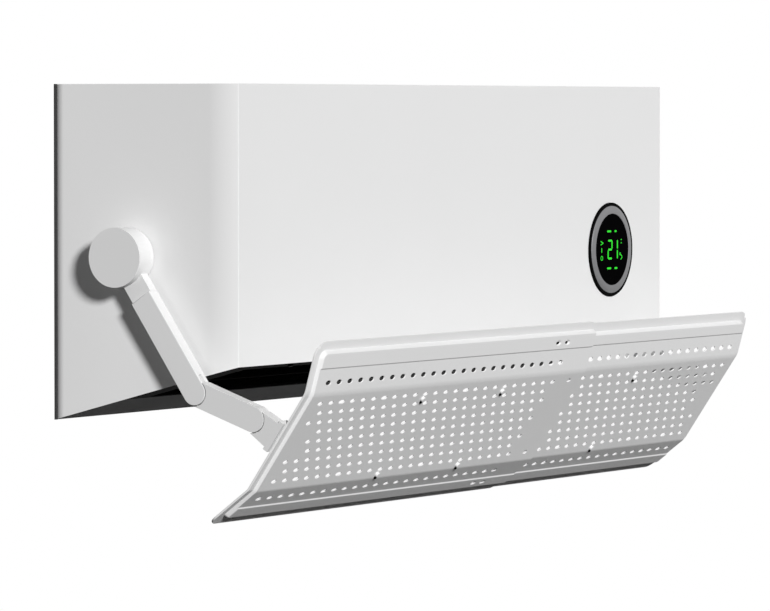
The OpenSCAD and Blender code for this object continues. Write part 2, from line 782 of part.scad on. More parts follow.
// A place at distance s past a fold, in the facet's plane: w = -1 upper, 0 middle, 1 lower
module on_facet(x, w, s) at(x, wrist[0], wrist[1]) rotate([-180 - mid_tilt, 0, 0])
    translate([0, -panel_drop, stand_off]) translate([0, -w * mid_len / 2, 0])
        rotate([w * fold_a, 0, 0]) translate([0, -s, 0]) children();

// A hole through a facet, drawn out to a slot where it is wide
module air_hole(x, w, s, r, wide = 0) on_facet(x, w, s)
    for (dx = [-wide / 2, wide / 2]) translate([dx, 0, -right_back - 4])
        cylinder(h = 8 + right_back, r = r, $fn = 24);

// What is cut away across the outer corner of a wing that ends at s
module rim_corner(w, s, cut) on_facet(half_defl, w, w * s) translate([0, 0, -10])
    linear_extrude(14) polygon([[-cut - 1, -w], [1, -w], [1, w * (cut + 1)]]);

// One panel, drawn with its outer end to the right; inner is where it stops, last_x where its
// air holes stop, back how far it lies behind the outer panel
module panel(inner, last_x, back) difference() {
    union() {
        panel_solid(inner, rim_x) polygon(concat(moved_back(raised_line, back),
            reversed(moved_back(raised_line, back + sheet_t))));
        panel_solid(rim_x - rim_t, rim_x) polygon(concat(moved_back(raised_line, back),
            reversed(moved_back(plain_line, back + rim_back + rim_t))));
        panel_solid(rim_x - rim_t, half_defl) polygon(concat(moved_back(plain_line, back + rim_back),
            reversed(moved_back(plain_line, back + rim_back + rim_t))));
    }
    rim_corner(-1, wing_end + lip_top, top_cut);
    rim_corner(1, wing_end + lip_bottom, bottom_cut);
    first = half_defl - first_hole;
    count = floor((first - last_x) / hole_pitch);
    for (k = [0 : count]) {
        air_hole(first - k * hole_pitch, -1, -row_top, hole_r);
        air_hole(first - k * hole_pitch, 1, row_bottom, hole_r);
        for (i = [0 : rows - 1]) {
            odd = i % 2;
            beside_clip = i > 2 && i < 6 && k == 0;
            edge = i == 0 || i == rows - 1;
            if (!beside_clip && k + odd <= count)
                air_hole(first - (k + odd / 2) * hole_pitch, 0, (i - (rows - 1) / 2) * row_pitch,
                    hole_r, edge && k % 4 == 2 && k != 10 ? 4 : 0);
        }
    }
}

module panel_left() place() color("whitesmoke") difference() {
    mirror([1, 0, 0]) panel(-seam_x, overlap + 5 - seam_x, 0);
    for (i = [-1, 1]) air_hole(seam_x - 25, 0, i * (rows - 1) / 2 * row_pitch, hole_r);
    for (x = [seam_x - 56, seam_x - 74], w = [-1, 1]) air_hole(x, w, w * (step_s + band_s) / 2, 1.6);
}

module panel_right() place() color("whitesmoke") panel(seam_x - overlap, seam_x + 7, right_back);

wall_plate();
rear_chassis();
outlet_duct();
casing();
top_grille();
air_filters();
heater_fins();
heater_bars();
heater_brackets();
thermal_cutout();
fan_bearing();
fan_motor();
motor_clamp();
fan_wheel();
fan_shaft();
louvre();
louvre_motor();
control_box();
box_lid();
control_board();
board_parts();
terminal_block();
cable_gland();
room_sensor();
display_housing();
display_ring();
display_lens();
display_digits();
display_board();
case_screws();
adhesive_pads();
arm_bases();
shoulder_disc(-1);  // shoulder_disc_left
upper_arm(-1);  // upper_arm_left
elbow_pin(-1);  // elbow_pin_left
forearm(-1);  // forearm_left
wrist_pin(-1);  // wrist_pin_left
clip(-1, 0);  // clip_left
shoulder_disc(1);  // shoulder_disc_right
upper_arm(1);  // upper_arm_right
elbow_pin(1);  // elbow_pin_right
forearm(1);  // forearm_right
wrist_pin(1);  // wrist_pin_right
clip(1, right_back + slip);  // clip_right
panel_left();
panel_right();
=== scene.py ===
import json
import math

import bpy
from mathutils import Matrix, Vector


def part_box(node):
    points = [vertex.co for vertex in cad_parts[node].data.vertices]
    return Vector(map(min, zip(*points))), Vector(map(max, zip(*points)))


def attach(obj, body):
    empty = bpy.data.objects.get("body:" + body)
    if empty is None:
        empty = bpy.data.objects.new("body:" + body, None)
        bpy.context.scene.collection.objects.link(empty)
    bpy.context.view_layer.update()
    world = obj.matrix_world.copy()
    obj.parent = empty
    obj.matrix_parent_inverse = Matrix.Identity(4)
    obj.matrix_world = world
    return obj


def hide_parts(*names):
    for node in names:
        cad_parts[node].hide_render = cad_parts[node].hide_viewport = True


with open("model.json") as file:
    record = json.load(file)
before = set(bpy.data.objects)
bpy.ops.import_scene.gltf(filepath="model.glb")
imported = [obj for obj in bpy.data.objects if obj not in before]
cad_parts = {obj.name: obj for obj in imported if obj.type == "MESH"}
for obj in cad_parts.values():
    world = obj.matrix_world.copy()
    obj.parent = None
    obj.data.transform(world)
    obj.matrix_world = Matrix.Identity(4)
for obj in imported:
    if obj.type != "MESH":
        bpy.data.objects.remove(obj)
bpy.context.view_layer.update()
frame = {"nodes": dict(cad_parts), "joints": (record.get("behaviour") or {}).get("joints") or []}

# ---- Camera ----
# A long lens well off to the left of the heater and a little above it, looking slightly down.
# The picture is a level product view without tilt or shift.
bpy.ops.object.camera_add(
    location=(-4.4423, -2.6084, 0.0960),
    rotation=(math.radians(90 - 2.08), 0, math.radians(-60.59)),
)
camera = bpy.context.object
camera.name = "camera"
camera.data.lens = 250.6
camera.data.sensor_width = 36
camera.data.clip_end = 100
bpy.context.scene.camera = camera
bpy.context.scene.view_settings.view_transform = "Standard"


# ---- Studio ----
# A main soft lamp high on the left of the front, a weak one on each side, and one for the back.
# They stand far off, so that the light is even over the whole heater.
def soft_lamp(name, direction, strength, spread):
    away = Vector(direction).normalized()
    bpy.ops.object.light_add(type="SUN", location=away * 5)
    lamp = bpy.context.object
    lamp.name = name
    lamp.rotation_euler = away.to_track_quat("Z", "Y").to_euler()
    lamp.data.energy = strength
    lamp.data.angle = math.radians(spread)


soft_lamp("lamp_main", (-0.568, -0.755, 0.329), 3.64, 9)
soft_lamp("lamp_right_fill", (0.84, -0.48, 0.24), 0.12, 30)
soft_lamp("lamp_left_fill", (-0.78, 0.55, 0.30), 0.23, 30)
soft_lamp("lamp_back", (0.45, 0.75, 0.48), 1.6, 20)


# The background and the pale floor are what the camera, gloss and glass see; the bare room round
# the heater stays dim, so that little light comes up from below.
def seen_directly(tree):
    rays = tree.nodes.new("ShaderNodeLightPath")
    seen = rays.outputs["Is Camera Ray"]
    for ray in ("Is Glossy Ray", "Is Transmission Ray"):
        most = tree.nodes.new("ShaderNodeMath")
        most.operation = "MAXIMUM"
        tree.links.new(seen, most.inputs[0])
        tree.links.new(rays.outputs[ray], most.inputs[1])
        seen = most.outputs[0]
    choose = tree.nodes.new("ShaderNodeMixShader")
    tree.links.new(seen, choose.inputs[0])
    return choose


world = bpy.data.worlds.new("studio")
bpy.context.scene.world = world
world.use_nodes = True
tree = world.node_tree
room = tree.nodes["Background"]
room.inputs["Strength"].default_value = 0.04
room.inputs["Color"].default_value = (1, 1, 1, 1)
backdrop = tree.nodes.new("ShaderNodeBackground")
backdrop.inputs["Color"].default_value = (1, 1, 1, 1)
choose = seen_directly(tree)
tree.links.new(room.outputs[0], choose.inputs[1])
tree.links.new(backdrop.outputs[0], choose.inputs[2])
tree.links.new(choose.outputs[0], tree.nodes["World Output"].inputs["Surface"])

bpy.ops.object.select_all(action="DESELECT")
bpy.ops.mesh.primitive_grid_add(x_subdivisions=8, y_subdivisions=8, size=7, location=(0, -0.5, -1.3))
floor = bpy.context.object
floor.name = "floor"
floor_paint = bpy.data.materials.new("floor_paint")
floor_paint.use_nodes = True
tree = floor_paint.node_tree
pale = tree.nodes["Principled BSDF"]
pale.inputs["Base Color"].default_value = (0.86, 0.86, 0.86, 1)
pale.inputs["Roughness"].default_value = 0.7
dim = tree.nodes.new("ShaderNodeBsdfDiffuse")
dim.inputs["Color"].default_value = (0.03, 0.03, 0.03, 1)
choose = seen_directly(tree)
tree.links.new(dim.outputs[0], choose.inputs[1])
tree.links.new(pale.outputs[0], choose.inputs[2])
tree.links.new(choose.outputs[0], tree.nodes["Material Output"].inputs["Surface"])
floor.data.materials.append(floor_paint)


# ---- Moulded grain ----
# The casing, arms and deflector are injection-moulded and carry the fine eroded texture of
# their tools, with a slow unevenness in gloss where the plastic flowed.
def new_group(name, inputs, outputs):
    group = bpy.data.node_groups.new(name, "ShaderNodeTree")
    for socket, kind, value in inputs:
        made = group.interface.new_socket(name=socket, in_out="INPUT", socket_type=kind)
        if value is not None:
            made.default_value = value
    for socket, kind in outputs:
        group.interface.new_socket(name=socket, in_out="OUTPUT", socket_type=kind)
    return group, group.nodes.new("NodeGroupInput"), group.nodes.new("NodeGroupOutput")


def math_node(tree, operation, a, b, clamp=False):
    node = tree.nodes.new("ShaderNodeMath")
    node.operation = operation
    node.use_clamp = clamp
    for socket, value in zip(node.inputs, (a, b)):
        if isinstance(value, (int, float)):
            socket.default_value = value
        else:
            tree.links.new(value, socket)
    return node.outputs[0]


moulded_grain, into, out = new_group(
    "moulded_grain",
    [("Coordinates", "NodeSocketVector", None), ("Grains per metre", "NodeSocketFloat", 900.0),
     ("Flow per metre", "NodeSocketFloat", 6.0)],
    [("Height", "NodeSocketFloat"), ("Flow", "NodeSocketFloat")],
)
fine = moulded_grain.nodes.new("ShaderNodeTexNoise")
fine.inputs["Detail"].default_value = 3
fine.inputs["Roughness"].default_value = 0.6
cells = moulded_grain.nodes.new("ShaderNodeTexVoronoi")
cells.feature = "SMOOTH_F1"
slow = moulded_grain.nodes.new("ShaderNodeTexNoise")
slow.inputs["Detail"].default_value = 2
for node in (fine, cells, slow):
    moulded_grain.links.new(into.outputs["Coordinates"], node.inputs["Vector"])
moulded_grain.links.new(into.outputs["Grains per metre"], fine.inputs["Scale"])
moulded_grain.links.new(
    math_node(moulded_grain, "MULTIPLY", into.outputs["Grains per metre"], 0.6), cells.inputs["Scale"])
moulded_grain.links.new(into.outputs["Flow per metre"], slow.inputs["Scale"])
height = math_node(moulded_grain, "ADD", fine.outputs["Fac"],
                   math_node(moulded_grain, "MULTIPLY", cells.outputs["Distance"], 0.5))
moulded_grain.links.new(height, out.inputs["Height"])
moulded_grain.links.new(slow.outputs["Fac"], out.inputs["Flow"])


def place_group(tree, group, **values):
    node = tree.nodes.new("ShaderNodeGroup")
    node.node_tree = group
    for name, value in values.items():
        node.inputs[name.replace("_", " ")].default_value = value
    if "Coordinates" in node.inputs:
        where = tree.nodes.new("ShaderNodeTexCoord")
        tree.links.new(where.outputs["Object"], node.inputs["Coordinates"])
    return node


def new_finish(name, roughness, metallic=0.0, specular=0.5):
    material = bpy.data.materials.new(name)
    material.use_nodes = True
    shader = material.node_tree.nodes["Principled BSDF"]
    shader.inputs["Roughness"].default_value = roughness
    shader.inputs["Metallic"].default_value = metallic
    shader.inputs["Specular IOR Level"].default_value = specular
    return material, material.node_tree, shader


def tint(tree, shader, mask, low, high):
    mix = tree.nodes.new("ShaderNodeMix")
    mix.data_type = "RGBA"
    tree.links.new(mask, mix.inputs["Factor"])
    mix.inputs[6].default_value = (*low, 1)
    mix.inputs[7].default_value = (*high, 1)
    tree.links.new(mix.outputs[2], shader.inputs["Base Color"])


def span(tree, value, low, high):
    reach = tree.nodes.new("ShaderNodeMapRange")
    reach.inputs["To Min"].default_value = low
    reach.inputs["To Max"].default_value = high
    tree.links.new(value, reach.inputs["Value"])
    return reach.outputs[0]


def relief(tree, shader, height, metres):
    bump = tree.nodes.new("ShaderNodeBump")
    bump.inputs["Distance"].default_value = metres
    bump.inputs["Strength"].default_value = 1.0
    tree.links.new(height, bump.inputs["Height"])
    tree.links.new(bump.outputs["Normal"], shader.inputs["Normal"])


def moulded_plastic(name, low, high, rough_low, rough_high, grains=900.0, depth=0.00002, specular=0.5):
    material, tree, shader = new_finish(name, rough_low, specular=specular)
    grain = place_group(tree, moulded_grain, Grains_per_metre=grains)
    tint(tree, shader, grain.outputs["Flow"], low, high)
    tree.links.new(span(tree, grain.outputs["Flow"], rough_low, rough_high), shader.inputs["Roughness"])
    relief(tree, shader, grain.outputs["Height"], depth)
    return material


def paint(material, *names):
    for name in names:
        node = frame["nodes"][name]
        node.data.materials.clear()
        node.data.materials.append(material)


white_shell = moulded_plastic("white_shell", (0.80, 0.80, 0.80), (0.82, 0.82, 0.82), 0.6, 0.68, specular=0.2)
white_arm = moulded_plastic("white_arm", (0.735, 0.735, 0.735), (0.755, 0.755, 0.755), 0.58, 0.66,
                            specular=0.03)
white_panel = moulded_plastic("white_panel", (0.80, 0.80, 0.80), (0.82, 0.82, 0.82), 0.62, 0.7, specular=0.12)
dark_grey = moulded_plastic("dark_grey_plastic", (0.045, 0.045, 0.045), (0.055, 0.055, 0.055), 0.65, 0.75,
                            specular=0.05)
black = moulded_plastic("black_plastic", (0.0015, 0.0015, 0.0015), (0.0025, 0.0025, 0.0025), 0.7, 0.8,
                        specular=0.01)
paint(dark_grey, "rear_chassis")
paint(black, "outlet_duct", "louvre", "cable_gland")


# ---- Casing ----
# One moulded shell of white plastic, open behind and below. Its sides curl in to the wall and
# sweep in towards the front, and its top has a stepped opening that carries the grille.
def only(obj):
    bpy.ops.object.select_all(action="DESELECT")
    obj.select_set(True)
    bpy.context.view_layer.objects.active = obj


def pick(obj, wanted, kind="VERT"):
    """Selects, in edit mode, what passes the test: places, edges' middles and runs, or faces."""
    bpy.ops.object.mode_set(mode="EDIT")
    bpy.context.tool_settings.mesh_select_mode = (kind == "VERT", kind == "EDGE", kind == "FACE")
    bpy.ops.mesh.select_all(action="DESELECT")
    bpy.ops.object.mode_set(mode="OBJECT")
    mesh = obj.data
    if kind == "VERT":
        for v in mesh.vertices:
            v.select = bool(wanted(v.co))
    elif kind == "EDGE":
        for e in mesh.edges:
            a, b = (mesh.vertices[i].co for i in e.vertices)
            e.select = bool(wanted((a + b) / 2, a - b))
    else:
        for f in mesh.polygons:
            f.select = bool(wanted(f))
    bpy.ops.object.mode_set(mode="EDIT")


def cut_across(point, normal, **clear):
    bpy.ops.mesh.select_all(action="SELECT")
    bpy.ops.mesh.bisect(plane_co=point, plane_no=normal, **clear)


def start_at(name, point):
    """A new piece in edit mode that holds a single vertex."""
    bpy.ops.object.select_all(action="DESELECT")
    bpy.ops.mesh.primitive_plane_add(size=0.01, location=point)
    obj = bpy.context.object
    obj.name = name
    bpy.ops.object.transform_apply(location=True)
    bpy.ops.object.mode_set(mode="EDIT")
    bpy.context.tool_settings.mesh_select_mode = (True, False, False)
    bpy.ops.mesh.select_all(action="SELECT")
    bpy.ops.mesh.merge(type="CENTER")
    return obj


def draw_out(x=0.0, y=0.0, z=0.0):
    bpy.ops.mesh.extrude_region_move(TRANSFORM_OT_translate={"value": (x, y, z)})


def outward(obj):
    bpy.ops.object.mode_set(mode="EDIT")
    bpy.ops.mesh.select_all(action="SELECT")
    bpy.ops.mesh.normals_make_consistent(inside=False)
    bpy.ops.object.mode_set(mode="OBJECT")


def apply_modifiers(obj):
    only(obj)
    for modifier in list(obj.modifiers):
        bpy.ops.object.modifier_apply(modifier=modifier.name)


def cut_out(obj, cutter):
    cut = obj.modifiers.new("cut", "BOOLEAN")
    cut.object = cutter
    cut.solver = "EXACT"
    apply_modifiers(obj)
    bpy.data.objects.remove(cutter)


def merge_into(obj, others):
    only(obj)
    for other in others:
        other.select_set(True)
    bpy.ops.object.join()


def finish_mesh(obj, angle=35):
    """Applies place and modifiers and shades the piece smooth, with its flat faces kept flat."""
    apply_modifiers(obj)
    bpy.ops.object.transform_apply(location=True, rotation=True, scale=True)
    bpy.ops.object.shade_smooth_by_angle(angle=math.radians(angle))
    weighted = obj.modifiers.new("flat faces", "WEIGHTED_NORMAL")
    weighted.keep_sharp = True
    bpy.ops.object.modifier_apply(modifier=weighted.name)


def fit_in(obj, material, body, nodes):
    obj.vertex_groups.clear()
    obj.data.materials.clear()
    obj.data.materials.append(material)
    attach(obj, body)
    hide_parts(*nodes)


low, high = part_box("casing")
half_w, depth, top, base = high.x, -low.y, high.z, low.z
wall_t, rise = 0.0028, 0.051
# the strip next to the wall at each side, painted dark grey as painted shade
painted_shade_in, painted_shade_back = 0.0004, 0.0016
curl_in, curl_back = 0.0030, 0.0088
sweep_in, sweep_back = 0.004, 0.028
edge_r, ledge, thin_edge = 0.0005, 0.004, 0.12
dial_hole_r, frame_end = 0.04305, -0.0735


def sweep(inward, along, centre_y, steps):
    """Carries the last vertex round an arc that turns in by one length over another."""
    radius = (inward * inward + along * along) / (2 * inward)
    bpy.ops.mesh.spin(steps=steps, angle=-2 * math.atan(inward / along), axis=(0, 0, 1),
                      center=(-half_w + radius, centre_y, base))


shell = start_at("casing_shell", (-half_w + painted_shade_in, 0, base))
draw_out(y=-painted_shade_back)
draw_out(x=curl_in - painted_shade_in)
sweep(curl_in, curl_back, -painted_shade_back - curl_back, 6)
draw_out(y=painted_shade_back + curl_back + sweep_back - depth)
sweep(sweep_in, sweep_back, sweep_back - depth, 8)
draw_out(x=half_w - sweep_in)
bpy.ops.object.mode_set(mode="OBJECT")
mirror = shell.modifiers.new("right half", "MIRROR")
mirror.use_clip = True
apply_modifiers(shell)
bpy.ops.object.mode_set(mode="EDIT")
bpy.ops.mesh.select_all(action="SELECT")
draw_out(z=top - base)
pick(shell, lambda p: p.z > top - 1e-5)
bpy.ops.mesh.edge_face_add()
cut_across((0, 0, base), (0, -rise, -depth), clear_outer=True)
outward(shell)
# the corner edges and the edge round the top are rounded
pick(shell, lambda m, d: (abs(d.z) > 0.1 and m.y < -depth + 1e-4 and abs(m.x) > half_w - sweep_in - 1e-4) or
     (m.z > top - 1e-5 and (m.y < -depth + sweep_back or abs(m.x) > half_w - curl_in)), "EDGE")
bpy.ops.mesh.bevel(offset=edge_r, segments=3, affect="EDGES")
# opening for the grille, with a ledge below it
edge_x, edge_y0, edge_y1 = half_w - 0.0275, -0.024, -depth + 0.022
for place, across in (((-edge_x, 0, 0), (1, 0, 0)), ((edge_x, 0, 0), (1, 0, 0)),
                      ((0, edge_y0, 0), (0, 1, 0)), ((0, edge_y1, 0), (0, 1, 0))):
    pick(shell, lambda f: f.center.z > top - 1e-5 and f.normal.z > 0.99, "FACE")
    bpy.ops.mesh.bisect(plane_co=place, plane_no=across)
pick(shell, lambda f: f.center.z > top - 1e-5 and abs(f.center.x) < edge_x and edge_y1 < f.center.y < edge_y0,
     "FACE")
draw_out(z=-wall_t)
bpy.ops.mesh.inset(thickness=ledge)
bpy.ops.mesh.delete(type="FACE")
bpy.ops.object.mode_set(mode="OBJECT")
# the wall thins out towards the curled edges
thin = shell.vertex_groups.new(name="thin")
for v in shell.data.vertices:
    curled = v.co.y > -painted_shade_back - curl_back + 1e-4 and abs(v.co.x) > half_w - 0.005
    thin.add([v.index], thin_edge if curled else 1.0, "REPLACE")
wall = shell.modifiers.new("wall", "SOLIDIFY")
wall.thickness = wall_t
wall.offset = -1
wall.vertex_group = "thin"
wall.use_even_offset = True
apply_modifiers(shell)
housing_low, housing_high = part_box("display_housing")
dial = (housing_low + housing_high) / 2
bpy.ops.object.select_all(action="DESELECT")
bpy.ops.mesh.primitive_cylinder_add(vertices=96, radius=dial_hole_r, depth=0.05,
                                    location=(dial.x, -depth, dial.z), rotation=(math.radians(90), 0, 0))
cut_out(shell, bpy.context.object)
# bosses for the three screws of the frame below
slope = math.atan(rise / depth)
up_slope = Vector((0, math.sin(slope), math.cos(slope)))
screw_head_r, screw_away = 0.0028, 0.183
boss_r, boss_wall, boss_h, boss_up = 0.0045, 0.0031, 0.012, 0.0085
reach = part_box("case_screws")[1].x - screw_head_r
bosses = []
for x in (-reach, 0, reach):
    foot = Vector((x, -screw_away, base + screw_away * math.tan(slope)))
    bpy.ops.object.select_all(action="DESELECT")
    bpy.ops.mesh.primitive_cylinder_add(vertices=24, radius=boss_r, depth=boss_h)
    boss = bpy.context.object
    pick(boss, lambda f: f.normal.z < -0.9, "FACE")
    bpy.ops.mesh.inset(thickness=boss_wall)
    draw_out(z=boss_h - 0.002)
    bpy.ops.object.mode_set(mode="OBJECT")
    boss.rotation_euler.x = -slope
    boss.location = foot + up_slope * boss_up
    bpy.ops.object.transform_apply(location=True, rotation=True)
    bosses.append(boss)
merge_into(shell, bosses)
finish_mesh(shell, 35)
fit_in(shell, white_shell, "heater", ["casing"])
# the shell's lower edge takes the colours of the underside's dark frame and panel, which come down over it,
# and a strip at each side next to the wall is painted dark grey: painted shade where the sides meet the wall
shell.data.materials.append(black)
shell.data.materials.append(dark_grey)


def on_lower_edge(f):
    return f.normal.dot(up_slope) < -0.97 and abs(f.center.z - base + f.center.y * rise / depth) < 0.0005


pick(shell, on_lower_edge, "FACE")
bpy.ops.mesh.bisect(plane_co=(0, frame_end, 0), plane_no=(0, 1, 0))
bpy.ops.object.mode_set(mode="OBJECT")
# the strip next to the wall at each side gets the dark grey as painted shade
for f in shell.data.polygons:
    if f.center.y > -painted_shade_back - 1e-4 and abs(f.center.x) > half_w - curl_in - 1e-4:
        f.material_index = 2
    elif on_lower_edge(f):
        f.material_index = 1 if f.center.y < frame_end else 2
paint(white_shell, "top_grille")


# ---- Display ----
# A round display let into the front: a black surround with a cup behind it, a satin metal ring
# that rises to a dark glass, and green segments lit up on it.
def turned(name, centre, profile, steps=128):
    """A ring or disc about the display's axis, from pairs of radius and distance from the wall."""
    radius, away = profile[0]
    obj = start_at(name, (centre.x + radius, -away, centre.z))
    for now, then in zip(profile, profile[1:]):
        draw_out(x=then[0] - now[0], y=now[1] - then[1])
    bpy.ops.mesh.select_all(action="SELECT")
    bpy.ops.mesh.spin(steps=steps, angle=math.radians(360), center=(centre.x, 0, centre.z), axis=(0, 1, 0))
    bpy.ops.mesh.select_all(action="SELECT")
    bpy.ops.mesh.remove_doubles(threshold=1e-6)
    outward(obj)
    return obj


def metal(name, colour, rough_low, rough_high, specular=0.5):
    """A satin or brushed metal whose gloss drifts a little."""
    material, tree, shader = new_finish(name, rough_low, metallic=1.0, specular=specular)
    grain = place_group(tree, moulded_grain, Grains_per_metre=2500.0, Flow_per_metre=40.0)
    tint(tree, shader, grain.outputs["Flow"], tuple(c * 0.93 for c in colour), tuple(c * 1.07 for c in colour))
    tree.links.new(span(tree, grain.outputs["Flow"], rough_low, rough_high), shader.inputs["Roughness"])
    relief(tree, shader, grain.outputs["Height"], 0.000004)
    return material


display_black = moulded_plastic("display_black", (0.002, 0.002, 0.002), (0.003, 0.003, 0.003), 0.45, 0.5,
                                specular=0.004)
display_silver = metal("display_silver", (0.215, 0.215, 0.22), 0.5, 0.58)
display_glass = moulded_plastic("display_glass", (0.0006, 0.0006, 0.0007), (0.0009, 0.0009, 0.001), 0.25, 0.3,
                                grains=300.0, depth=0.000002, specular=0.0008)
digit_green, tree, shader = new_finish("digit_green", 0.5, specular=0.05)
glow = place_group(tree, moulded_grain, Grains_per_metre=1500.0)
tint(tree, shader, glow.outputs["Flow"], (0.0, 0.02, 0.0), (0.0, 0.03, 0.0))
shader.inputs["Emission Color"].default_value = (0.03, 0.78, 0.03, 1)
tree.links.new(span(tree, glow.outputs["Height"], 0.8, 1.1), shader.inputs["Emission Strength"])
# how far the surround stands out from the front, and its radius
proud = -housing_low.y - depth
outer_r = (housing_high.x - housing_low.x) / 2
surround = turned("display_surround", dial, [
    (0, depth - 0.014), (0.0424, depth - 0.014), (0.0430, depth - 0.0134), (0.0430, depth - 0.0001),
    (0.0463, depth - 0.0001), (outer_r, depth + 0.0002), (outer_r, depth + proud - 0.0006),
    (outer_r - 0.0002, depth + proud - 0.0002), (outer_r - 0.0006, depth + proud), (0.0435, depth + proud),
    (0.0434, depth + proud - 0.0001), (0.0434, depth + 0.0010), (0.0405, depth + 0.0010),
    (0.0405, depth - 0.0120), (0, depth - 0.0120)])
surround_edges = surround.modifiers.new("edges", "BEVEL")
surround_edges.width = 0.0002
surround_edges.limit_method = "ANGLE"
finish_mesh(surround, 40)
fit_in(surround, display_black, "heater", ["display_housing"])

ring_low, ring_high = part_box("display_ring")
glass_low, glass_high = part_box("display_lens")
glass_r = (glass_high.x - glass_low.x) / 2
glass_front = -glass_low.y
crest = -ring_low.y
bezel = turned("display_bezel", dial, [
    (glass_r, depth - 0.001), (0.0402, depth - 0.001), (0.0402, depth + 0.001), (0.0433, depth + 0.001),
    (0.0433, crest - 0.0012), (0.0431, crest - 0.0009), (0.0395, crest - 0.0002), (glass_r + 0.0012, crest),
    (glass_r + 0.0004, crest), (glass_r + 0.0001, crest - 0.0002), (glass_r, crest - 0.0005),
    (glass_r, depth - 0.001)])
finish_mesh(bezel, 30)
fit_in(bezel, display_silver, "heater", ["display_ring"])

pane = turned("display_pane", dial, [
    (0, depth - 0.001), (glass_r, depth - 0.001), (glass_r, glass_front - 0.0003),
    (glass_r - 0.0003, glass_front), (0, glass_front)])
finish_mesh(pane, 30)
fit_in(pane, display_glass, "heater", ["display_lens"])


def lit_bar(marks, x, z, length, stroke, turn=0.0):
    """A flat segment with pointed ends, length along X before it is turned."""
    bpy.ops.object.select_all(action="DESELECT")
    bpy.ops.mesh.primitive_plane_add(size=1)
    bar = bpy.context.object
    bar.scale = (length, stroke, 1)
    bpy.ops.object.transform_apply(scale=True)
    pick(bar, lambda p: True)
    bpy.ops.mesh.bevel(offset=stroke * 0.38, segments=1, affect="VERTICES")
    bpy.ops.mesh.select_all(action="SELECT")
    draw_out(z=mark_h)
    outward(bar)
    bar.rotation_euler = (math.radians(90), math.radians(turn), 0)
    bar.location = (dial.x + x, -glass_front, dial.z + z)
    bpy.ops.object.transform_apply(location=True, rotation=True)
    marks.append(bar)


def lit_ring(marks, x, z, radius, stroke):
    ring = turned("ring", Vector((dial.x + x, 0, dial.z + z)), [
        (radius, glass_front), (radius + stroke, glass_front), (radius + stroke, glass_front + mark_h),
        (radius, glass_front + mark_h), (radius, glass_front)], 24)
    marks.append(ring)


mark_h = 0.0002
figure_half, stroke = 0.00985, 0.0020
marks = []
# the figures 2 and 1 in seven-segment strokes
for z in (-figure_half + stroke / 2, 0, figure_half - stroke / 2):
    lit_bar(marks, -0.0050, z, 0.0080, stroke)
for x, z, length in ((-0.0008, 1, 0.0082), (-0.0092, -1, 0.0082), (0.0110, 1, 0.0086), (0.0110, -1, 0.0086)):
    lit_bar(marks, x, z * figure_half / 2, length, stroke, 90)
# dashes above and below, signs in a column at each side
for z, length in ((0.0181, 0.0042), (-0.0186, 0.0060)):
    lit_bar(marks, -0.0070, z, 0.0086, 0.0019)
    lit_bar(marks, 0.0048 + length / 2, z, length, 0.0019)
lit_bar(marks, -0.0226, 0.0076, 0.0060, 0.0009, 17)
lit_bar(marks, -0.0226, 0.0058, 0.0060, 0.0009, -17)
lit_bar(marks, -0.0231, -0.0005, 0.0048, 0.0011, 90)
lit_ring(marks, -0.0229, -0.0083, 0.0017, 0.0007)
for z in (0.0095, 0.0062):
    lit_bar(marks, 0.0194, z, 0.0018, 0.0010)
lit_ring(marks, 0.0168, -0.0047, 0.0008, 0.0006)
for turn in (35, -35):
    lit_bar(marks, 0.0198, -0.0078 + turn * 0.00004, 0.0042, 0.0009, turn)
merge_into(marks[0], marks[1:])
digits = marks[0]
digits.name = "display_segments"
finish_mesh(digits, 30)
fit_in(digits, digit_green, "heater", ["display_digits"])


# ---- Arms ----
# Jointed arms of white plastic: a disc on the casing's side, an upper arm, a forearm between
# round knuckles and a clip that grips the deflector's rim. Every moulded edge is slightly soft.
def softened(name, node, body, material, width):
    """A copy of a moulded part whose edges are rounded over the given width."""
    source = frame["nodes"][node]
    piece = bpy.data.objects.new(name, source.data.copy())
    piece.matrix_world = source.matrix_world.copy()
    bpy.context.collection.objects.link(piece)
    only(piece)
    bpy.ops.object.transform_apply(location=True, rotation=True, scale=True)
    bpy.ops.object.mode_set(mode="EDIT")
    bpy.ops.mesh.select_all(action="SELECT")
    bpy.ops.mesh.remove_doubles(threshold=2e-6)
    bpy.ops.mesh.dissolve_limited(angle_limit=math.radians(0.6))
    bpy.ops.object.mode_set(mode="OBJECT")
    edges = piece.modifiers.new("edges", "BEVEL")
    edges.width = width
    edges.segments = 2
    edges.limit_method = "ANGLE"
    edges.angle_limit = math.radians(35)
    finish_mesh(piece, 30)
    fit_in(piece, material, body, [node])


arm_edge, clip_edge = 0.0008, 0.0006
softened("arm_base_plates", "arm_bases", "heater", white_arm, arm_edge)
for s in ("left", "right"):
    softened("arm_disc_" + s, "shoulder_disc_" + s, s + "_arm", white_arm, arm_edge)
    softened("arm_upper_" + s, "upper_arm_" + s, s + "_arm", white_arm, arm_edge)
    softened("arm_fore_" + s, "forearm_" + s, s + "_forearm", white_arm, arm_edge)
softened("rim_clip_left", "clip_left", "deflector", white_arm, clip_edge)
softened("rim_clip_right", "clip_right", "right_clip", white_arm, clip_edge)


# ---- Deflector panels ----
# Two moulded sheets that slide over each other, each folded back along its top and bottom, with
# a raised field and bands for stiffness, a set-back rim round its outer end and rows of air holes.
wrist = Vector(next(j["pos_m"] for j in frame["joints"] if j["name"] == "left_wrist"))
panel_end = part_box("panel_right")[1].x
panel_turn = math.radians(180 - 55.9)
fold = math.radians(18.5)
half_mid, wing_bottom = 0.052, 0.0522
rim_w, field_up, band_line, band_up = 0.006, 0.003, 0.0235, 0.001
pitch, row_gap, first_hole = 0.019, 0.0105, 0.0295
hole_r, outer_holes = 0.0026, 1.15
# the small black stud below each white stud is a painted shade dot
stud_r, stud_h, shade_dot_r, shade_dot_h, shade_dot_down = 0.0026, 0.0026, 0.0014, 0.0016, 0.0037


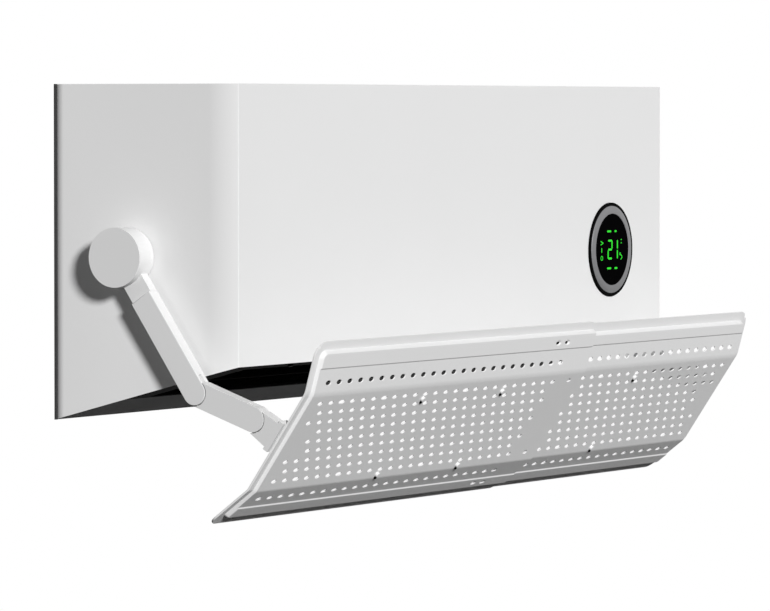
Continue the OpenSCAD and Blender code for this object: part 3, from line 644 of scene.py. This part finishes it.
def folded_sheet(name, inner, wing_top, lip_top, inner_round):
    """A panel's sheet with its outer end at +X and its front at z = 0, folded along X."""
    low, high = inner - 0.03, panel_end
    top, bottom = half_mid + wing_top, -half_mid - wing_bottom
    bpy.ops.object.select_all(action="DESELECT")
    bpy.ops.mesh.primitive_plane_add(size=1, location=((low + high) / 2, (top + bottom) / 2, -field_up))
    obj = bpy.context.object
    obj.name = name
    obj.scale = (high - low, top - bottom, 1)
    bpy.ops.object.transform_apply(location=True, rotation=True, scale=True)
    for y, radius in ((top, 0.014), (bottom, 0.010)):
        pick(obj, lambda p: p.x > high - 1e-4 and abs(p.y - y) < 1e-4)
        bpy.ops.mesh.bevel(offset=radius, offset_type="OFFSET", segments=8, affect="VERTICES")
    # the field stands 3 mm proud of the rim on a sloping shoulder
    pick(obj, lambda f: True, "FACE")
    bpy.ops.mesh.inset(thickness=rim_w)
    for side, shift in (("top", (0, rim_w - lip_top, 0)), ("bottom", (0, rim_w, 0)), ("end", (-0.0015, 0, 0))):
        pick(obj, lambda p: low + 0.003 < p.x < high - 0.003 and bottom + 0.003 < p.y < top - 0.003 and
             {"top": p.y > top - 0.03, "bottom": p.y < bottom + 0.03, "end": p.x > high - 0.03}[side])
        bpy.ops.transform.translate(value=shift)
    pick(obj, lambda f: f.area > 0.03, "FACE")
    bpy.ops.mesh.inset(thickness=0.0015, depth=field_up)
    # a band along each outer part of the field stands another 1 mm proud
    for side in (1, -1):
        line = half_mid + band_line
        pick(obj, lambda f: abs(f.center.z) < 1e-4 and f.normal.z > 0.9, "FACE")
        bpy.ops.mesh.bisect(plane_co=(0, side * line, 0), plane_no=(0, 1, 0))
        pick(obj, lambda f: abs(f.center.z) < 1e-4 and f.normal.z > 0.9 and f.center.y * side > line, "FACE")
        bpy.ops.mesh.inset(thickness=0.001, depth=band_up)
    cut_across((inner, 0, 0), (1, 0, 0), clear_inner=True)
    for y, radius in ((top, inner_round), (bottom, inner_round)):
        pick(obj, lambda p: p.x < inner + 1e-4 and abs(p.y - y) < 1e-4)
        bpy.ops.mesh.bevel(offset=radius, offset_type="OFFSET", segments=4, affect="VERTICES")
    # folds
    for side in (1, -1):
        cut_across((0, side * half_mid, 0), (0, 1, 0))
        pick(obj, lambda p: p.y * side > half_mid + 1e-5)
        bpy.ops.transform.rotate(value=side * fold, orient_axis="X", orient_type="GLOBAL",
                                 center_override=(0, side * half_mid, 0))
    bpy.ops.object.mode_set(mode="OBJECT")
    return obj


def air_hole_cutter(front, thickness):
    """An oval pin with a flared mouth at the front and back of the sheet."""
    pin_half, flare = 0.004, 0.0003
    bpy.ops.object.select_all(action="DESELECT")
    bpy.ops.mesh.primitive_cylinder_add(vertices=16, radius=hole_r, depth=2 * pin_half,
                                        location=(0, 0, front - thickness / 2))
    pin = bpy.context.object
    bpy.ops.object.transform_apply(location=True)
    for level in (front - flare, front - thickness + flare):
        bpy.ops.object.mode_set(mode="EDIT")
        cut_across((0, 0, level), (0, 0, 1))
    for level in (front + pin_half, front - thickness - pin_half):
        pick(pin, lambda p: abs(p.z - level) < 1e-3)
        wide = (hole_r + pin_half + flare) / hole_r
        bpy.ops.transform.resize(value=(wide, wide, 1), center_override=(0, 0, level))
    bpy.ops.object.mode_set(mode="OBJECT")
    pin.scale = (1.42, 0.75, 1)
    bpy.ops.object.transform_apply(scale=True)
    return pin


def hole_row(pin, x, y, count, tilt, made, size=1):
    """A row of pins from x inwards, lying in the facet that starts at a fold."""
    only(pin)
    bpy.ops.object.duplicate()
    row = bpy.context.object
    row.location = (x, y, 0)
    row.scale = (size, size, 1)
    bpy.ops.object.transform_apply(location=True, scale=True)
    if count > 1:
        array = row.modifiers.new("row", "ARRAY")
        array.use_relative_offset = False
        array.use_constant_offset = True
        array.constant_offset_displace = (-pitch, 0, 0)
        array.count = count
        bpy.ops.object.modifier_apply(modifier=array.name)
    if tilt:
        bpy.ops.object.mode_set(mode="EDIT")
        bpy.ops.mesh.select_all(action="SELECT")
        bpy.ops.transform.rotate(value=tilt * fold, orient_axis="X", orient_type="GLOBAL",
                                 center_override=(0, tilt * half_mid, 0))
        bpy.ops.object.mode_set(mode="OBJECT")
    made.append(row)


def punched(sheet, front, thickness, last_x, singles):
    """Cuts the rows of air holes, counted inwards from the outer end."""
    pin = air_hole_cutter(front, thickness)
    only(pin)
    bpy.ops.object.duplicate()
    slot = bpy.context.object
    for side in (1, -1):
        pick(slot, lambda p: p.x * side > 1e-5)
        bpy.ops.transform.translate(value=(side * 0.0012, 0, 0))
        bpy.ops.object.mode_set(mode="OBJECT")
    first = panel_end - first_hole
    count = int((first - last_x) / pitch)
    made = []
    hole_row(pin, first, half_mid + 0.0106, count + 1, 1, made, outer_holes)
    hole_row(pin, first, -half_mid - 0.0124, count + 1, -1, made, outer_holes)
    for i in range(9):
        y, odd = (4 - i) * row_gap, i % 2
        if i in (0, 8):
            wide = [k for k in (2, 6, 14) if k <= count]
            for k in range(count + 1):
                hole_row(slot if k in wide else pin, first - k * pitch, y, 1, 0, made)
        elif i in (3, 4, 5):
            hole_row(pin, first - (1 + odd / 2) * pitch, y, count - odd, 0, made)
        else:
            hole_row(pin, first - odd / 2 * pitch, y, count + 1 - odd, 0, made)
    for x, y, tilt, size in singles:
        hole_row(pin, x, y, 1, tilt, made, size)
    for spare in (pin, slot):
        bpy.data.objects.remove(spare)
    merge_into(made[0], made[1:])
    cut_out(sheet, made[0])


def studs_at(places, radius, height, front):
    """Short round studs that stand on the front of a sheet."""
    made = []
    for x, y in places:
        bpy.ops.object.select_all(action="DESELECT")
        bpy.ops.mesh.primitive_cylinder_add(vertices=16, radius=radius, depth=height + 0.0004,
                                            location=(x, y, front + height / 2 - 0.0002))
        stud = bpy.context.object
        bpy.ops.object.transform_apply(location=True)
        pick(stud, lambda f: f.normal.z > 0.9, "FACE")
        bpy.ops.mesh.bevel(offset=radius * 0.3, segments=2, affect="EDGES")
        bpy.ops.object.mode_set(mode="OBJECT")
        made.append(stud)
    return made


def deflector_panel(name, node, body, inner, front, wings, last_x, inner_round, singles, left):
    """A whole panel; wings holds its upper wing's height and lip, singles its separate holes."""
    sheet = folded_sheet(name, inner, *wings, inner_round)
    sheet.location.z = front
    bpy.ops.object.transform_apply(location=True)
    # the upper fold is the softer of the two
    for side, radius in ((1, 0.0030), (-1, 0.0014)):
        pick(sheet, lambda m, d: abs(m.y - side * half_mid) < 1e-4 and abs(d.x) > 5e-4, "EDGE")
        bpy.ops.mesh.bevel(offset=radius, segments=4, affect="EDGES")
        bpy.ops.object.mode_set(mode="OBJECT")
    rim = sheet.vertex_groups.new(name="rim")
    for v in sheet.data.vertices:
        rim.add([v.index], 1.0 if v.co.x > panel_end - 0.0061 else 0.6, "REPLACE")
    wall = sheet.modifiers.new("wall", "SOLIDIFY")
    wall.thickness = 0.002
    wall.offset = -1
    wall.vertex_group = "rim"
    wall.use_even_offset = True
    edges = sheet.modifiers.new("edges", "BEVEL")
    edges.width = 0.0004
    edges.segments = 2
    edges.limit_method = "ANGLE"
    edges.angle_limit = math.radians(30)
    apply_modifiers(sheet)
    punched(sheet, front, 0.0012, last_x, singles)
    # short studs, each with a small black stud below it as a painted shade dot
    first = panel_end - first_hole + (0.0015 if left else -0.0005)
    places = [(first - k * pitch, y) for k in (10, 18) if first - k * pitch > last_x for y in (0.0370, -0.0474)]
    merge_into(sheet, studs_at(places, stud_r, stud_h, front))
    white_faces = len(sheet.data.polygons)
    merge_into(sheet, studs_at([(x, y - shade_dot_down) for x, y in places], shade_dot_r, shade_dot_h, front))
    only(sheet)
    if left:
        sheet.scale.x = -1
        bpy.ops.object.transform_apply(scale=True)
        outward(sheet)
    sheet.rotation_euler.x = panel_turn
    sheet.location = Matrix.Rotation(panel_turn, 3, "X") @ Vector((0, -0.0037, 0.033))
    sheet.location += Vector((0, wrist.y, wrist.z))
    finish_mesh(sheet, 25)
    fit_in(sheet, white_panel, body, [node])
    # the black studs below the white ones are painted shade
    sheet.data.materials.append(black)
    for f in sheet.data.polygons[white_faces:]:
        f.material_index = 1


seam = 0.092
by_seam = [(0.025 - seam, side * 4 * row_gap, 0, 1) for side in (1, -1)]
in_bands = [(x, side * (half_mid + 0.0306), side, 0.85) for x in (-0.036, -0.018) for side in (1, -1)]
deflector_panel("deflector_panel_left", "panel_left", "deflector", -seam, 0, (0.04795, 0.00775), -0.035, 0.005,
                by_seam + in_bands, True)
deflector_panel("deflector_panel_right", "panel_right", "deflector_extension", 0.040, -0.0015, (0.0455, 0.0089),
                seam + 0.007, 0.004, [], False)


# ---- Inside and fixings ----
# The working parts behind the shell: plated and blackened steel, thin bright aluminium fins, a
# dark fan wheel, filter frames with their net, a green circuit board and rubber and foam pads.
spangle, into, out = new_group(
    "spangle",
    [("Coordinates", "NodeSocketVector", None), ("Grains per metre", "NodeSocketFloat", 220.0)],
    [("Tone", "NodeSocketFloat"), ("Height", "NodeSocketFloat")],
)
crystals = spangle.nodes.new("ShaderNodeTexVoronoi")
crystals.feature = "F1"
haze = spangle.nodes.new("ShaderNodeTexNoise")
haze.inputs["Detail"].default_value = 4
for node in (crystals, haze):
    spangle.links.new(into.outputs["Coordinates"], node.inputs["Vector"])
    spangle.links.new(into.outputs["Grains per metre"], node.inputs["Scale"])
shades = spangle.nodes.new("ShaderNodeSeparateColor")
spangle.links.new(crystals.outputs["Color"], shades.inputs[0])
tone = math_node(spangle, "ADD", math_node(spangle, "MULTIPLY", shades.outputs[0], 0.5),
                 math_node(spangle, "MULTIPLY", haze.outputs["Fac"], 0.5))
spangle.links.new(tone, out.inputs["Tone"])
spangle.links.new(haze.outputs["Fac"], out.inputs["Height"])


def sheet_metal(name, low, high, rough_low, rough_high, grains=220.0):
    material, tree, shader = new_finish(name, rough_low, metallic=1.0)
    plate = place_group(tree, spangle, Grains_per_metre=grains)
    tint(tree, shader, plate.outputs["Tone"], low, high)
    tree.links.new(span(tree, plate.outputs["Tone"], rough_low, rough_high), shader.inputs["Roughness"])
    relief(tree, shader, plate.outputs["Height"], 0.00001)
    return material


paint(sheet_metal("zinc_steel", (0.42, 0.43, 0.44), (0.58, 0.59, 0.60), 0.32, 0.5),
      "wall_plate", "motor_clamp", "fan_shaft", "elbow_pin_left", "elbow_pin_right", "wrist_pin_left",
      "wrist_pin_right")
paint(sheet_metal("blackened_steel", (0.0012, 0.0012, 0.0012), (0.002, 0.002, 0.002), 0.75, 0.85, 900.0),
      "case_screws")
paint(sheet_metal("bracket_steel", (0.40, 0.37, 0.31), (0.52, 0.49, 0.42), 0.4, 0.55), "heater_brackets")
paint(sheet_metal("motor_steel", (0.18, 0.19, 0.20), (0.24, 0.25, 0.26), 0.42, 0.55, 120.0), "fan_motor")

rolled, into, out = new_group(
    "rolled_lines",
    [("Coordinates", "NodeSocketVector", None), ("Lines per metre", "NodeSocketFloat", 1600.0)],
    [("Lines", "NodeSocketFloat")],
)
squeeze = rolled.nodes.new("ShaderNodeMapping")
squeeze.inputs["Scale"].default_value = (1, 1, 0.03)
lines = rolled.nodes.new("ShaderNodeTexNoise")
lines.inputs["Detail"].default_value = 2
rolled.links.new(into.outputs["Coordinates"], squeeze.inputs["Vector"])
rolled.links.new(squeeze.outputs[0], lines.inputs["Vector"])
rolled.links.new(into.outputs["Lines per metre"], lines.inputs["Scale"])
rolled.links.new(lines.outputs["Fac"], out.inputs["Lines"])
fin_aluminium, tree, shader = new_finish("fin_aluminium", 0.3, metallic=1.0)
strip = place_group(tree, rolled)
tint(tree, shader, strip.outputs["Lines"], (0.66, 0.67, 0.68), (0.80, 0.81, 0.82))
tree.links.new(span(tree, strip.outputs["Lines"], 0.25, 0.42), shader.inputs["Roughness"])
relief(tree, shader, strip.outputs["Lines"], 0.00002)
paint(fin_aluminium, "heater_fins", "heater_bars")

paint(moulded_plastic("fan_plastic", (0.02, 0.023, 0.026), (0.03, 0.034, 0.038), 0.4, 0.5), "fan_wheel")
paint(moulded_plastic("filter_mesh", (0.55, 0.56, 0.57), (0.62, 0.63, 0.64), 0.5, 0.6), "air_filters")
paint(moulded_plastic("bearing_rubber", (0.012, 0.012, 0.012), (0.02, 0.02, 0.02), 0.75, 0.9, 400.0, 0.00006),
      "fan_bearing")
paint(moulded_plastic("foam_tape", (0.12, 0.12, 0.12), (0.2, 0.2, 0.2), 0.85, 0.95, 1500.0, 0.0002),
      "adhesive_pads")
ivory = moulded_plastic("ivory_plastic", (0.66, 0.62, 0.50), (0.70, 0.66, 0.54), 0.4, 0.5)
paint(ivory, "thermal_cutout", "terminal_block", "room_sensor", "louvre_motor", "control_box", "box_lid")
paint(moulded_plastic("black_parts", (0.012, 0.012, 0.014), (0.02, 0.02, 0.022), 0.35, 0.5), "board_parts")

tracks, into, out = new_group(
    "board_tracks",
    [("Coordinates", "NodeSocketVector", None), ("Tracks per metre", "NodeSocketFloat", 260.0)],
    [("Copper", "NodeSocketFloat")],
)
turned_round = tracks.nodes.new("ShaderNodeMapping")
turned_round.inputs["Rotation"].default_value = (math.radians(90), 0, math.radians(90))
paths = tracks.nodes.new("ShaderNodeTexBrick")
paths.inputs["Mortar Size"].default_value = 0.08
paths.inputs["Color1"].default_value = (0, 0, 0, 1)
paths.inputs["Color2"].default_value = (0, 0, 0, 1)
paths.inputs["Mortar"].default_value = (1, 1, 1, 1)
tracks.links.new(into.outputs["Coordinates"], turned_round.inputs["Vector"])
tracks.links.new(turned_round.outputs[0], paths.inputs["Vector"])
tracks.links.new(into.outputs["Tracks per metre"], paths.inputs["Scale"])
tracks.links.new(paths.outputs["Color"], out.inputs["Copper"])
green_board, tree, shader = new_finish("green_board", 0.35)
copper = place_group(tree, tracks)
tint(tree, shader, copper.outputs["Copper"], (0.01, 0.09, 0.03), (0.03, 0.2, 0.07))
tree.links.new(span(tree, copper.outputs["Copper"], 0.4, 0.25), shader.inputs["Roughness"])
relief(tree, shader, copper.outputs["Copper"], 0.00003)
paint(green_board, "control_board", "display_board")

# the net stretched in the filter frames: thin strands, seven hundred to the metre each way
net_low, net_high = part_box("air_filters")
bpy.ops.object.select_all(action="DESELECT")
bpy.ops.mesh.primitive_grid_add(x_subdivisions=16, y_subdivisions=6, size=1)
net = bpy.context.object
net.name = "filter_net"
net.scale = (net_high.x - net_low.x - 0.012, net_high.y - net_low.y - 0.012, 1)
net.location = ((net_low.x + net_high.x) / 2, (net_low.y + net_high.y) / 2, (net_low.z + net_high.z) / 2)
strand = net.modifiers.new("strands", "SOLIDIFY")
strand.thickness = 0.0003
finish_mesh(net, 30)
weave, into, out = new_group(
    "net_weave",
    [("Coordinates", "NodeSocketVector", None), ("Strands per metre", "NodeSocketFloat", 700.0)],
    [("Strand", "NodeSocketFloat")],
)
place = weave.nodes.new("ShaderNodeSeparateXYZ")
weave.links.new(into.outputs["Coordinates"], place.inputs[0])
strands = []
for axis in (0, 1):
    phase = math_node(weave, "MULTIPLY", place.outputs[axis], into.outputs["Strands per metre"])
    strands.append(math_node(weave, "LESS_THAN", math_node(weave, "FRACT", phase, 0), 0.3))
weave.links.new(math_node(weave, "MAXIMUM", *strands), out.inputs["Strand"])
net_finish, tree, shader = new_finish("filter_net", 0.6)
cloth = place_group(tree, weave)
flow = place_group(tree, moulded_grain)
tint(tree, shader, flow.outputs["Flow"], (0.05, 0.05, 0.055), (0.09, 0.09, 0.095))
tree.links.new(cloth.outputs["Strand"], shader.inputs["Alpha"])
net.data.materials.append(net_finish)
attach(net, "heater")
